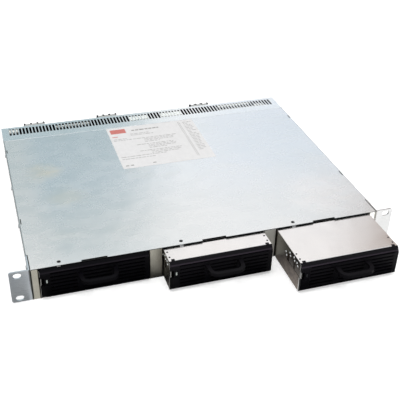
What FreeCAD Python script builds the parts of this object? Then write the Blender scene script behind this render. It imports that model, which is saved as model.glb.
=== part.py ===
"""Rack power supply shelf with three plug-in modules, as a parametric FreeCAD document.

Frame: X to the right seen from the front, Y to the rear, Z up, millimetres.
The origin is the middle of the base plate's front edge. The left module is fully
in, the middle and right modules are drawn part of the way out.
"""
import FreeCAD, Part
import Sketcher
import math
import os

os.makedirs("parts", exist_ok=True)
doc = FreeCAD.newDocument("PowerShelf")
sheet = doc.addObject("Spreadsheet::Sheet", "Sizes")

SIZES = {
    # Shelf body and its sheet metal
    "shelf_width": 440.0,
    "shelf_depth": 351.0,
    "shelf_height": 44.0,
    "shelf_sheet": 0.9,
    "strip_depth": 41.0,
    "strip_step": 0.3,
    "cover_drop": 12.0,
    "bend_cut": 0.5,
    # Vent slots in the rear strip
    "vent_end": 12.1,
    "vent_radius": 1.4,
    "vent_length": 19.0,
    "vent_margin": 6.5,
    # Rack ears
    "ear_reach": 21.8,
    "ear_sheet": 2.0,
    "ear_flange": 28.0,
    "ear_corner": 3.0,
    "ear_bend": 2.4,
    "slot_offset": 12.55,
    "slot_pitch": 31.75,
    "slot_radius": 3.5,
    "slot_run": 2.6,
    # Bays between the posts and dividers
    "post_width": 10.4,
    "post_gap": 0.8,
    "divider_width": 15.2,
    "guide_end": 290.0,
    "side_gap": 1.3,
    "floor_gap": 0.3,
    "lid_gap": 1.4,
    # Front edge of the cover
    "notch_width": 30.0,
    "notch_depth": 2.5,
    "tab_offset": 41.0,
    "tab_width": 4.4,
    "tab_drop": 0.9,
    # Backplane and rear connections
    "rear_zone": 47.0,
    "board_sheet": 1.6,
    "socket_depth": 10.0,
    "socket_wall": 2.0,
    "plug_gap": 0.5,
    "bar_width": 30.0,
    "bar_sheet": 3.0,
    "bar_height": 21.0,
    "bar_reach": 25.0,
    "pole_pitch": 9.6,
    "barrier_sheet": 1.8,
    "barrier_reach": 16.0,
    "block_base": 9.0,
    "block_height": 23.0,
    # How far each module is drawn out
    "pull_left": 0.0,
    "pull_middle": 27.0,
    "pull_right": 71.5,
    # Module case and front
    "case_sheet": 0.8,
    "case_front": 2.0,
    "bezel_bulge": 3.5,
    "bezel_bevel": 6.0,
    "louvre_pitch": 4.9,
    "louvre_height": 2.0,
    "handle_centre": 2.25,
    "handle_width": 45.0,
    "handle_reach": 23.0,
    "handle_top": 29.5,
    "handle_bar": 4.8,
    "handle_thick": 4.4,
    "lamp_width": 1.6,
    "lamp_height": 4.0,
    # Inside a module
    "fan_size": 38.0,
    "fan_depth": 20.0,
    "fan_bore": 18.0,
    "hub_radius": 8.5,
    "board_lift": 5.0,
    "plug_half": 26.0,
    "plug_height": 11.4,
    "plug_reach": 9.0,
}
for row, (alias, value) in enumerate(SIZES.items(), 1):
    sheet.set(f"A{row}", alias)
    sheet.set(f"B{row}", str(value))
    sheet.setAlias(f"B{row}", alias)
doc.recompute()

VENT_COUNT = 85
CASE_VENTS = 10
LOUVRE_ROWS = 6
BLADE_COUNT = 5
FIN_COUNT = 6
HUB_SIDES = 16
BORE_SIDES = 24

# Places that are the same on every module, and places along the rear wall
DRAWN_WIDTH = 440.0
BLOCK_SPOTS = {"left": -170, "middle": -58, "right": 94}
BAR_SPOTS = {"negative": -11, "positive": 38}
SIGNAL_SPOTS = {"left": -114.5, "right": 147}
SIGNAL_LEVEL = 28
LAMP_LEVEL = 25
LATCH_END = 44.4
FAN_SPOTS = {"left": -26, "right": 30}
FAN_FRONT = 8
SINK_SPOTS = (-42, 42)


class Dim:
    """A length: its value now, and the sheet expression that drives it."""

    def __init__(self, value, text):
        self.value = value
        self.text = text

    def __add__(self, other):
        return join(self, "+", other, self.value + dim(other).value)

    def __sub__(self, other):
        return join(self, "-", other, self.value - dim(other).value)

    def __mul__(self, other):
        return join(self, "*", other, self.value * dim(other).value)

    def __truediv__(self, other):
        return join(self, "/", other, self.value / dim(other).value)

    def __neg__(self):
        return Dim(-self.value, f"(-1 * {self.text})")


def dim(number):
    """A plain number as a Dim; a Dim is returned as it is."""
    if isinstance(number, Dim):
        return number
    return Dim(float(number), f"({float(number)})")


def join(left, sign, right, value):
    return Dim(value, f"({left.text} {sign} {dim(right).text})")


def size(alias):
    """The Dim of a cell of the sheet."""
    return Dim(SIZES[alias], f"Sizes.{alias}")


# Sketch and feature helpers. Ranges are (low, high) along the plane's third axis.
PLANES = {"XY": "XY_Plane", "XZ": "XZ_Plane", "YZ": "YZ_Plane"}


def new_body(label):
    body = doc.addObject("PartDesign::Body", label)
    body.Label = label
    return body


def origin_part(body, role):
    return next(f for f in body.Origin.OriginFeatures if f.Role == role)


def new_sketch(body, plane, level):
    """A sketch on an origin plane of the body, moved to a level along the plane's normal."""
    sketch = body.newObject("Sketcher::SketchObject", f"{body.Name}_sketch")
    sketch.AttachmentSupport = (origin_part(body, PLANES[plane]), [""])
    sketch.MapMode = "FlatFace"
    # The XZ plane's normal points to -Y
    shift = -dim(level) if plane == "XZ" else dim(level)
    sketch.setExpression("AttachmentOffset.Base.z", shift.text)
    return sketch


def bind(sketch, kind, spot, value):
    """Constrain a vertex, centre or radius to a sheet expression."""
    value = dim(value)
    if kind == "Radius":
        index = sketch.addConstraint(Sketcher.Constraint("Radius", spot, value.value))
    else:
        index = sketch.addConstraint(Sketcher.Constraint(kind, -1, 1, *spot, value.value))
    sketch.setExpression(f"Constraints[{index}]", value.text)


def vector(u, v):
    return FreeCAD.Vector(dim(u).value, dim(v).value, 0)


def outline(sketch, points):
    """A closed polygon whose corners are bound to the sheet."""
    first = sketch.GeometryCount
    count = len(points)
    for number in range(count):
        ends = vector(*points[number]), vector(*points[(number + 1) % count])
        sketch.addGeometry(Part.LineSegment(*ends), False)
    for number in range(count):
        after = first + (number + 1) % count
        sketch.addConstraint(Sketcher.Constraint("Coincident", first + number, 2, after, 1))
    for number, (u, v) in enumerate(points):
        bind(sketch, "DistanceX", (first + number, 1), u)
        bind(sketch, "DistanceY", (first + number, 1), v)


def ring(sketch, u, v, radius):
    """A circle bound to the sheet."""
    normal = FreeCAD.Vector(0, 0, 1)
    index = sketch.addGeometry(Part.Circle(vector(u, v), normal, dim(radius).value), False)
    bind(sketch, "DistanceX", (index, 3), u)
    bind(sketch, "DistanceY", (index, 3), v)
    bind(sketch, "Radius", index, radius)


def round_slot(sketch, left, right, radius):
    """A level slot with round ends between two arc centres."""
    normal = FreeCAD.Vector(0, 0, 1)
    arcs = []
    for centre, begin in ((right, -math.pi / 2), (left, math.pi / 2)):
        circle = Part.Circle(vector(*centre), normal, dim(radius).value)
        arcs.append(sketch.addGeometry(Part.ArcOfCircle(circle, begin, begin + math.pi), False))
    ends = [sketch.Geometry[arc] for arc in arcs]
    sides = []
    for one, two in ((0, 1), (1, 0)):
        line = Part.LineSegment(ends[one].EndPoint, ends[two].StartPoint)
        sides.append(sketch.addGeometry(line, False))
    for number, side in enumerate(sides):
        other = arcs[1 - number]
        sketch.addConstraint(Sketcher.Constraint("Tangent", arcs[number], 2, side, 1))
        sketch.addConstraint(Sketcher.Constraint("Tangent", side, 2, other, 1))
    bind(sketch, "Radius", arcs[0], radius)
    for arc, centre in zip(arcs, (right, left)):
        bind(sketch, "DistanceX", (arc, 3), centre[0])
        bind(sketch, "DistanceY", (arc, 3), centre[1])


def extrude(body, kind, plane, span, draw):
    """Pad or pocket over a (low, high) range; draw fills the sketch."""
    low, high = dim(span[0]), dim(span[1])
    towards_normal = kind == "Pad"
    from_low = towards_normal != (plane == "XZ")
    sketch = new_sketch(body, plane, low if from_low else high)
    draw(sketch)
    feature = body.newObject(f"PartDesign::{kind}", f"{body.Name}_{kind.lower()}")
    feature.Profile = sketch
    feature.setExpression("Length", (high - low).text)
    doc.recompute()
    return feature


def pad(body, plane, points, span):
    return extrude(body, "Pad", plane, span, lambda sketch: outline(sketch, points))


def pocket(body, plane, points, span):
    return extrude(body, "Pocket", plane, span, lambda sketch: outline(sketch, points))


def drill(body, plane, u, v, radius, span):
    return extrude(body, "Pocket", plane, span, lambda sketch: ring(sketch, u, v, radius))


def repeat(body, feature, axis, length, count):
    """A row of a feature along an origin axis of the body."""
    row = body.newObject("PartDesign::LinearPattern", f"{body.Name}_row")
    row.Originals = [feature]
    row.Direction = (origin_part(body, axis), [""])
    row.setExpression("Length", dim(length).text)
    row.Occurrences = count
    body.Tip = row
    doc.recompute()
    return row


def turn_copies(body, feature, axis, count):
    """Copies of a feature round an origin axis of the body."""
    circle = body.newObject("PartDesign::PolarPattern", f"{body.Name}_circle")
    circle.Originals = [feature]
    circle.Axis = (origin_part(body, axis), [""])
    circle.Angle = 360.0
    circle.Occurrences = count
    body.Tip = circle
    doc.recompute()
    return circle


def rectangle(u, v):
    """The corners of a rectangle from two (low, high) ranges."""
    return [(u[0], v[0]), (u[1], v[0]), (u[1], v[1]), (u[0], v[1])]


def eased_slot(u, low, high, radius):
    """The corners of a narrow slot whose round ends are drawn with three short sides."""
    ease = radius * 0.6
    return [
        (u - radius, low + ease), (u - radius + ease, low), (u + radius - ease, low),
        (u + radius, low + ease), (u + radius, high - ease), (u + radius - ease, high),
        (u - radius + ease, high), (u - radius, high - ease),
    ]


def many_sided(u, v, radius, sides):
    """The corners of a regular polygon that stands for a circle on a small inner piece."""
    corners = []
    for number in range(sides):
        angle = 2 * math.pi * (number + 0.5) / sides
        across = dim(radius) * round(math.cos(angle), 6)
        up = dim(radius) * round(math.sin(angle), 6)
        corners.append((dim(u) + across, dim(v) + up))
    return corners


def about(centre, half):
    """A range of a half width about a centre."""
    return dim(centre) - half, dim(centre) + half


def across(x):
    """A place across the shelf, kept in proportion to its width."""
    return size("shelf_width") * (x / DRAWN_WIDTH)


def place(label, source, x, y, z):
    """A node: one body of the library, set at its place in the shelf."""
    node = doc.addObject("Part::Compound", label)
    node.Label = label
    node.Links = [source]
    for axis, value in zip("xyz", (x, y, z)):
        node.setExpression(f"Placement.Base.{axis}", dim(value).text)
    return node


def gather(label, sources):
    """A node made of several separate solids."""
    node = doc.addObject("Part::Compound", label)
    node.Label = label
    node.Links = sources
    return node


# Levels and widths worked out from the sheet
half = size("shelf_width") / 2
depth = size("shelf_depth")
top = size("shelf_height")
skin = size("shelf_sheet")
cover_top = top - size("strip_step")
cover_under = cover_top - skin
seam = depth - size("strip_depth")
side_out = half - skin
side_in = half - skin * 2
ear_in = half - size("ear_sheet")
wall_start = size("ear_flange") + 1
bay = (size("shelf_width") - size("post_width") * 2 - size("divider_width") * 2) / 3
bay_pitch = bay + size("divider_width")
cut = size("bend_cut")
backplane_front = depth - size("rear_zone")
backplane_rear = backplane_front + size("board_sheet")

module_half = bay / 2 - size("side_gap")
module_floor = skin + size("floor_gap")
module_top = cover_under - module_floor - size("lid_gap")
case_rear = backplane_front - size("socket_depth") - 2
case_skin = size("case_sheet")
case_front = size("case_front")
board_top = size("board_lift") + size("board_sheet")
block_low = top - 4 - size("block_height")
latch_low = dim(20.5)
latch_high = dim(29.0)
lamp_side = -module_half + 7.3


def make_tray():
    """Floor with two side walls; the walls stop behind the ears' flanges."""
    body = new_body("chassis_tray")
    channel = [
        (-side_out, 0), (side_out, 0), (side_out, cover_under), (side_in, cover_under),
        (side_in, skin), (-side_in, skin), (-side_in, cover_under), (-side_out, cover_under),
    ]
    pad(body, "XZ", channel, (wall_start, depth))
    pad(body, "XY", rectangle((-side_out, side_out), (0, wall_start)), (0, skin))
    return body


def make_cover():
    """Top plate with side flanges, corner cut-outs for the ears and a notch over each bay."""
    body = new_body("top_cover")
    rear = seam - 0.3
    drop = cover_top - size("cover_drop")
    channel = [
        (-half, drop), (-side_out, drop), (-side_out, cover_under), (side_out, cover_under),
        (side_out, drop), (half, drop), (half, cover_top - cut), (half - cut, cover_top),
        (cut - half, cover_top), (-half, cover_top - cut),
    ]
    pad(body, "XZ", channel, (wall_start, rear))
    plate = [(-ear_in, wall_start), (-ear_in, 0)]
    reach = size("notch_depth")
    for number in (-1, 0, 1):
        left, right = about(bay_pitch * number, size("notch_width") / 2)
        plate += [(left, 0), (left, reach), (right, reach), (right, 0)]
    plate += [(ear_in, 0), (ear_in, wall_start)]
    pad(body, "XY", plate, (cover_under, cover_top))
    first = -bay_pitch - size("tab_offset")
    tab = rectangle(about(first, size("tab_width") / 2), (0, skin))
    row = pad(body, "XY", tab, (cover_under - size("tab_drop"), cover_under))
    repeat(body, row, "X_Axis", bay_pitch * 2, 3)
    hole = drill(body, "XY", first + 1, 6.5, 1.6, (cover_under, cover_top))
    repeat(body, hole, "X_Axis", bay_pitch * 2, 3)
    return body


def make_rear_frame():
    """Rear wall, slotted top strip and the lip that carries the cover's rear edge."""
    body = new_body("rear_frame")
    under = top - skin
    lip_low = cover_under - skin
    profile = [
        (depth - skin, skin), (depth, skin), (depth, top - cut), (depth - cut, top),
        (seam, top), (seam, cover_under), (seam - 8, cover_under), (seam - 8, lip_low),
        (seam + skin, lip_low), (seam + skin, under), (depth - skin, under),
    ]
    pad(body, "YZ", profile, (-side_in, side_in))
    drop = top - size("cover_drop")
    for side in (-1, 1):
        flange = [
            (side_in * side, under), (side_in * side, top), ((half - cut) * side, top),
            (half * side, top - cut), (half * side, drop), (side_out * side, drop),
            (side_out * side, under),
        ]
        pad(body, "XZ", flange, (seam, depth))
    radius = size("vent_radius")
    run = size("shelf_width") - size("vent_end") * 2
    low = depth - size("vent_margin") - size("vent_length")
    high = depth - size("vent_margin")
    vent = pocket(body, "XY", eased_slot(run / -2, low, high, radius), (under, top))
    repeat(body, vent, "X_Axis", run, VENT_COUNT)
    wall = depth - skin, depth
    for x in BLOCK_SPOTS.values():
        pocket(body, "XZ", rectangle(about(across(x), 14), (block_low + 3.5, block_low + 17.5)), wall)
    for x in BAR_SPOTS.values():
        gap = size("bar_width") / 2 + 2
        level = size("bar_height")
        window = rectangle(about(across(x), gap), (level - 2.5, level + size("bar_sheet") + 2.5))
        pocket(body, "XZ", window, wall)
    for x in SIGNAL_SPOTS.values():
        pocket(body, "XZ", rectangle(about(across(x), 21), about(SIGNAL_LEVEL, 6)), wall)
    return body


def round_edges(body, axis, reach, radius, at_y=None):
    """Round the straight edges along an axis at a distance from the middle, and at one Y if given."""
    edges = []
    for number, edge in enumerate(body.Shape.Edges, 1):
        box, middle = edge.BoundBox, edge.CenterOfMass
        spans = {"X": box.XLength, "Y": box.YLength, "Z": box.ZLength}
        straight = sum(spans.values()) - spans[axis] < 0.01
        here = at_y is None or abs(middle.y - at_y) < 0.01
        if straight and here and abs(abs(middle.x) - reach.value) < 0.01:
            edges.append(f"Edge{number}")
    plain = body.Tip
    rounding = body.newObject("PartDesign::Fillet", f"{body.Name}_round")
    rounding.Base = (plain, edges)
    rounding.setExpression("Radius", radius.text)
    body.Tip = rounding
    doc.recompute()


def make_ear(label, side):
    """Angle bracket with two slots for the rack screws."""
    body = new_body(label)
    thick = size("ear_sheet")
    tip = half + size("ear_reach")
    angle = [
        (tip * side, 0), (ear_in * side, 0), (ear_in * side, size("ear_flange")),
        (half * side, size("ear_flange")), (half * side, thick), (tip * side, thick),
    ]
    pad(body, "XY", angle, (skin, cover_top))
    centre = (half + size("slot_offset")) * side
    run = size("slot_run") / 2
    level = (top - size("slot_pitch")) / 2
    slot = extrude(body, "Pocket", "XZ", (0, thick), lambda sketch: round_slot(
        sketch, (centre - run, level), (centre + run, level), size("slot_radius")))
    repeat(body, slot, "Z_Axis", size("slot_pitch"), 2)
    round_edges(body, "Y", tip, size("ear_corner"))
    round_edges(body, "Z", ear_in, size("ear_bend"), 0)
    return body


def make_post(label, side):
    """Folded post at the outer side of a bay, with a long guide wall."""
    body = new_body(label)
    inner = half - size("post_width")
    outer = ear_in - size("post_gap")
    folded = [
        ((outer - cut) * side, 0), ((inner + cut) * side, 0), (inner * side, cut),
        (inner * side, size("guide_end")), ((inner + skin) * side, size("guide_end")),
        ((inner + skin) * side, skin), ((outer - skin) * side, skin),
        ((outer - skin) * side, size("ear_flange")), (outer * side, size("ear_flange")),
        (outer * side, cut),
    ]
    pad(body, "XY", folded, (skin, cover_under))
    return body


def make_divider(label, side):
    """Folded channel between two bays."""
    body = new_body(label)
    middle = bay_pitch / 2 * side
    wide = size("divider_width") / 2
    thin = wide - skin
    end = size("guide_end")
    folded = [
        (middle - wide, cut), (middle - wide + cut, 0), (middle + wide - cut, 0),
        (middle + wide, cut), (middle + wide, end), (middle + thin, end),
        (middle + thin, skin), (middle - thin, skin), (middle - thin, end),
        (middle - wide, end),
    ]
    pad(body, "XY", folded, (skin, cover_under))
    return body


def make_backplane():
    """Upright board behind the modules, with two air windows over each bay."""
    body = new_body("backplane_board")
    board = rectangle((-side_in + 4, side_in - 4), (skin, cover_under - skin))
    thick = backplane_front, backplane_rear
    pad(body, "XZ", board, thick)
    for shift in (-26, 26):
        window = rectangle(about(-bay_pitch + shift, 20), (25, top - 6))
        row = pocket(body, "XZ", window, thick)
        repeat(body, row, "X_Axis", bay_pitch * 2, 3)
    return body


def make_socket():
    """Blind-mating socket: a box open to the front."""
    body = new_body("socket_body")
    wide = size("plug_half") + size("plug_gap")
    low = module_floor + board_top - size("plug_gap")
    high = module_floor + board_top + size("plug_height") + size("plug_gap")
    wall = size("socket_wall")
    front = backplane_front - size("socket_depth")
    outer = rectangle(about(0, wide + wall), (low - wall, high + wall))
    pad(body, "XZ", outer, (front, backplane_front))
    inner = rectangle(about(0, wide), (low, high))
    pocket(body, "XZ", inner, (front, backplane_front - wall))
    return body


def make_terminal():
    """Three-pole barrier block, with a boss through the rear wall."""
    body = new_body("terminal_body")
    pitch = size("pole_pitch")
    thin = size("barrier_sheet") / 2
    base = depth + size("block_base")
    plan = [(pitch * -1.5 - thin, depth)]
    for number in range(4):
        left, right = about(pitch * (number - 1.5), thin)
        reach = depth + size("barrier_reach") - (3 if number in (0, 3) else 0)
        plan += [(left, reach), (right, reach)]
        if number < 3:
            plan += [(right, base), (pitch * (number - 0.5) - thin, base)]
    plan += [(pitch * 1.5 + thin, depth)]
    pad(body, "XY", plan, (block_low, block_low + size("block_height")))
    boss = rectangle(about(0, 13.5), (depth - 12, depth))
    pad(body, "XY", boss, (block_low + 4, block_low + 17))
    return body


def make_busbar(label, x):
    """Angled bar bolted to the backplane that leaves through the rear wall."""
    body = new_body(label)
    low = size("bar_height")
    high = low + size("bar_sheet")
    end = depth + size("bar_reach")
    angle = [
        (backplane_rear, 6), (backplane_rear + size("bar_sheet"), 6),
        (backplane_rear + size("bar_sheet"), low), (end, low), (end, high),
        (backplane_rear, high),
    ]
    pad(body, "YZ", angle, about(x, size("bar_width") / 2))
    drill(body, "XY", x, end - 11, 4.3, (low, high))
    return body


def make_signal():
    """Shielded signal connector: flange, tapered shell and the body behind the wall."""
    body = new_body("signal_body")
    pad(body, "XZ", rectangle(about(0, 26.5), about(SIGNAL_LEVEL, 6.3)), (depth, depth + 1))
    shell = [
        (-18.2, SIGNAL_LEVEL - 4.2), (18.2, SIGNAL_LEVEL - 4.2),
        (19.6, SIGNAL_LEVEL + 4.2), (-19.6, SIGNAL_LEVEL + 4.2),
    ]
    pad(body, "XZ", shell, (depth + 1, depth + 7))
    pad(body, "XZ", rectangle(about(0, 20.5), about(SIGNAL_LEVEL, 5.5)), (depth - 14, depth))
    return body


def make_case():
    """Open module case: floor, sides and rear wall, with posts for the board."""
    body = new_body("case_body")
    wall = module_half - case_skin
    rim = module_top - case_skin
    channel = [
        (-module_half, 0), (module_half, 0), (module_half, rim), (wall, rim),
        (wall, case_skin), (-wall, case_skin), (-wall, rim), (-module_half, rim),
    ]
    pad(body, "XZ", channel, (case_front, case_rear))
    back = case_rear - case_skin, case_rear
    pad(body, "XZ", rectangle((-wall, wall), (case_skin, rim)), back)
    gap = size("plug_gap")
    plug = rectangle(about(0, size("plug_half") + gap),
                     (board_top - gap, board_top + size("plug_height") + gap))
    pocket(body, "XZ", plug, back)
    vent = rectangle((-wall + 6, -wall + 9), (module_top - 18, module_top - 5))
    row = pocket(body, "XZ", vent, back)
    repeat(body, row, "X_Axis", wall * 2 - 15, CASE_VENTS)
    window = rectangle((case_front, LATCH_END - 8), (latch_low - 0.5, latch_high + 0.5))
    pocket(body, "YZ", window, (-module_half, -wall))
    for y in (60, case_rear - 18):
        foot = rectangle(about(-wall + 9, 3), about(y, 3))
        row = pad(body, "XY", foot, (case_skin, size("board_lift")))
        repeat(body, row, "X_Axis", wall * 2 - 18, 2)
    return body


def make_lid():
    """Module top plate with inner side lips."""
    body = new_body("lid_body")
    under = module_top - case_skin
    wall = module_half - case_skin
    pad(body, "XY", rectangle((-module_half, module_half), (case_front, case_rear)),
        (under, module_top))
    for side in (-1, 1):
        lip = rectangle((wall * side, (wall - case_skin) * side), (26, case_rear - 4))
        pad(body, "XY", lip, (under - 6, under))
    return body


def make_bezel():
    """Moulded front: bulged, bevelled along the top, with rows of air slots up to the bevel."""
    body = new_body("bezel_body")
    front = -size("bezel_bulge")
    profile = [
        (case_front, 0), (case_front, module_top), (0.5, module_top),
        (front, module_top - size("bezel_bevel")), (front, 3.5), (0, 0),
    ]
    pad(body, "YZ", profile, (-module_half, module_half))
    inner = module_half - 1.8
    hollow = rectangle((-inner, inner), (3.6, module_top - size("bezel_bevel") - 1))
    pocket(body, "XZ", hollow, (front + 2.3, case_front))
    slot_low = dim(4.1)
    slot = slot_low, slot_low + size("louvre_height")
    through = front, front + 2.3
    left_leg = size("handle_centre") - size("handle_width") / 2
    right_leg = size("handle_centre") + size("handle_width") / 2
    columns = (
        (-module_half + 11.5, left_leg - 1.2),
        (left_leg + size("handle_bar") + 1.2, right_leg - size("handle_bar") - 1.2),
        (right_leg + 1.2, module_half - 5.5),
    )
    for low, high in columns:
        louvre = pocket(body, "XZ", rectangle((low, high), slot), through)
        repeat(body, louvre, "Z_Axis", size("louvre_pitch") * (LOUVRE_ROWS - 1), LOUVRE_ROWS)
    upper_low = slot_low + size("louvre_pitch") * LOUVRE_ROWS
    upper = rectangle((columns[0][0], columns[2][1]), (upper_low, upper_low + size("louvre_height")))
    pocket(body, "XZ", upper, (front, front + 3.3))
    corner = rectangle((-module_half + 1.2, -module_half + 10), (4, latch_low - 1.2))
    pad(body, "XZ", corner, (front - 0.6, front))
    window = rectangle(about(lamp_side, size("lamp_width") / 2 + 0.3),
                       about(LAMP_LEVEL, size("lamp_height") / 2 + 0.3))
    pocket(body, "XZ", window, through)
    recess = rectangle((-module_half, -module_half + 4.3), (latch_low - 0.5, latch_high + 0.5))
    pocket(body, "XZ", recess, (front, case_front))
    for side in (-1, 1):
        clip = rectangle(about((module_half - 5) * side, 2), (0.5, 5))
        pad(body, "XY", clip, (module_top, module_top + 0.5))
    return body


def make_handle():
    """Pull loop that stands straight out from the bezel."""
    body = new_body("handle_body")
    bulge = -size("bezel_bulge")
    tip = -size("handle_reach")
    left = size("handle_centre") - size("handle_width") / 2
    right = size("handle_centre") + size("handle_width") / 2
    bar = size("handle_bar")
    plan = [
        (left, bulge), (left, tip + 11), (left + 0.9, tip + 6.6), (left + 3.4, tip + 3),
        (left + 7, tip + 0.8), (left + 11, tip), (right - 11, tip), (right - 7, tip + 0.8),
        (right - 3.4, tip + 3), (right - 0.9, tip + 6.6), (right, tip + 11), (right, bulge),
        (right - bar, bulge), (right - bar, tip + bar + 5.5),
        (right - bar - 1.6, tip + bar + 1.6), (right - bar - 5.5, tip + bar),
        (left + bar + 5.5, tip + bar), (left + bar + 1.6, tip + bar + 1.6),
        (left + bar, tip + bar + 5.5), (left + bar, bulge),
    ]
    pad(body, "XY", plan, (size("handle_top") - size("handle_thick"), size("handle_top")))
    return body


def make_lamp():
    """Status light: a small upright light pipe in the bezel."""
    body = new_body("lamp_body")
    front = -size("bezel_bulge")
    pipe = rectangle(about(lamp_side, size("lamp_width") / 2),
                     about(LAMP_LEVEL, size("lamp_height") / 2))
    pad(body, "XZ", pipe, (front - 0.4, front + 6))
    return body


def make_latch():
    """Spring lever along the left side; its tip shows beside the bezel."""
    body = new_body("latch_body")
    face = -module_half + 0.2
    tail = -module_half + case_skin + 0.3
    strip = [
        (face, -3), (face + 0.8, -3), (face + 0.8, 31), (tail + 0.8, 33),
        (tail + 0.8, LATCH_END), (tail, LATCH_END), (tail, 34), (face, 32),
        (face, 22), (face - 0.9, 19.5), (face - 0.9, 18), (face, 15),
    ]
    pad(body, "XY", strip, (latch_low, latch_high))
    return body


def make_fan_frame():
    """Square fan frame with a round bore, a motor seat and crossed struts."""
    body = new_body("fan_frame_body")
    wide = size("fan_size") / 2
    deep = size("fan_depth")
    pad(body, "XZ", rectangle((-wide, wide), (-wide, wide)), (0, deep))
    pocket(body, "XZ", many_sided(0, 0, size("fan_bore"), BORE_SIDES), (0, deep))
    seat = deep - 3, deep
    pad(body, "XZ", many_sided(0, 0, size("hub_radius"), HUB_SIDES), seat)
    reach = size("fan_bore") + 0.5
    pad(body, "XZ", rectangle((-reach, reach), (-1.2, 1.2)), seat)
    pad(body, "XZ", rectangle((-1.2, 1.2), (-reach, reach)), seat)
    return body


def make_rotor():
    """Fan wheel: a hub with slanted blades."""
    body = new_body("fan_rotor_body")
    rear = size("fan_depth") - 3.3
    pad(body, "XZ", many_sided(0, 0, size("hub_radius"), HUB_SIDES), (2, rear))
    plan = [(-4.4, 3.2), (-2.8, 3), (4.4, rear - 0.8), (2.8, rear - 0.6)]
    blade = pad(body, "XY", plan, (size("hub_radius") - 2.5, size("fan_bore") - 1.2))
    turn_copies(body, blade, "Y_Axis", BLADE_COUNT)
    return body


def make_board():
    """Main circuit board on the case posts."""
    body = new_body("board_body")
    wide = module_half - case_skin - 2
    pad(body, "XY", rectangle((-wide, wide), (50, case_rear - 8)), (size("board_lift"), board_top))
    return body


def make_heatsink():
    """Finned bar that stands on the board."""
    body = new_body("heatsink_body")
    comb = [(-12, board_top), (12, board_top)]
    fin_pitch = 22.4 / (FIN_COUNT - 1)
    for number in reversed(range(FIN_COUNT)):
        middle = -11.2 + fin_pitch * number
        comb += [(middle + 0.8, module_top - 8), (middle - 0.8, module_top - 8)]
        if number:
            comb += [(middle - 0.8, board_top + 3), (middle - fin_pitch + 0.8, board_top + 3)]
    pad(body, "XZ", comb, (110, 225))
    return body


def make_transformer():
    """Core frame with its winding."""
    body = new_body("transformer_body")
    high = module_top - 5
    pad(body, "XY", rectangle((-17, 17), (150, 192)), (board_top, high))
    for side in (-1, 1):
        bore = rectangle((8 * side, 13.5 * side), (board_top + 5, high - 5))
        pocket(body, "XZ", bore, (150, 192))
    winding = rectangle((-14.5, 14.5), (156, 186))
    pad(body, "XY", winding, (board_top + 5, high - 5))
    return body


def make_capacitors():
    """Three standing can capacitors."""
    cans = []
    for number in range(3):
        can = new_body(f"can_{number + 1}")
        wall = many_sided(-32 + 32 * number, 82, 11, HUB_SIDES)
        pad(can, "XY", wall, (board_top, module_top - 6))
        cans.append(can)
    return cans


def make_plug():
    """Rear plug with contact slots, on the end of the board."""
    body = new_body("plug_body")
    low = board_top
    high = board_top + size("plug_height")
    wide = size("plug_half")
    tip = case_rear + size("plug_reach")
    pad(body, "XZ", rectangle((-wide, wide), (low, high)), (case_rear - 22, tip))
    contact = rectangle((-wide + 3, -wide + 5), (low + 2.5, high - 2.5))
    row = pocket(body, "XZ", contact, (tip - 7, tip))
    repeat(body, row, "X_Axis", wide * 2 - 8, 9)
    return body


# The shelf
nodes = [make_tray(), make_rear_frame(), make_cover(), make_backplane()]
for name, side in (("left", -1), ("right", 1)):
    nodes.append(make_ear(f"rack_ear_{name}", side))
    nodes.append(make_post(f"bay_post_{name}", side))
    nodes.append(make_divider(f"bay_divider_{name}", side))
for name, x in BAR_SPOTS.items():
    nodes.append(make_busbar(f"busbar_{name}", across(x)))

socket = make_socket()
sockets = [place(f"socket_{n + 2}", socket, bay_pitch * n, 0, 0) for n in (-1, 0, 1)]
nodes.append(gather("backplane_sockets", sockets))
terminal = make_terminal()
for name, x in BLOCK_SPOTS.items():
    nodes.append(place(f"input_terminal_{name}", terminal, across(x), 0, 0))
signal = make_signal()
signals = [place(f"signal_{name}", signal, across(x), 0, 0) for name, x in SIGNAL_SPOTS.items()]
nodes.append(gather("signal_connectors", signals))

# One module's pieces, built about the module's own front lower middle
fan_frame = make_fan_frame()
fan_level = module_top / 2
fans = [place(f"fan_{name}", fan_frame, x, FAN_FRONT, fan_level) for name, x in FAN_SPOTS.items()]
heatsink = make_heatsink()
sinks = [place(f"heatsink_{n + 1}", heatsink, x, 0, 0) for n, x in enumerate(SINK_SPOTS)]
pieces = {
    "case_tray": make_case(),
    "case_lid": make_lid(),
    "bezel": make_bezel(),
    "pull_handle": make_handle(),
    "status_light": make_lamp(),
    "release_latch": make_latch(),
    "fan_frames": gather("fan_pair", fans),
    "circuit_board": make_board(),
    "heatsinks": gather("heatsink_pair", sinks),
    "transformer": make_transformer(),
    "capacitors": gather("can_row", make_capacitors()),
    "plug_connector": make_plug(),
}
rotor = make_rotor()

# The three modules at their places in the photograph
for number, name in ((-1, "left"), (0, "middle"), (1, "right")):
    x = bay_pitch * number
    y = -size(f"pull_{name}")
    for piece, source in pieces.items():
        nodes.append(place(f"{name}_{piece}", source, x, y, module_floor))
    for spot, shift in FAN_SPOTS.items():
        label = f"{name}_fan_rotor_{spot}"
        nodes.append(place(label, rotor, x + shift, y + FAN_FRONT, module_floor + fan_level))

doc.recompute()
for item in doc.Objects:
    if "Invalid" in item.State or "Error" in item.State:
        raise RuntimeError(f"{item.Label} did not build: {item.State}")
for node in nodes:
    if node.Shape.isNull() or not node.Shape.isValid() or not node.Shape.Solids:
        raise RuntimeError(f"{node.Label} is not a valid solid")
    node.Shape.exportStep(f"parts/{node.Label}.step")
print(f"{len(nodes)} nodes written")
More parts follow.
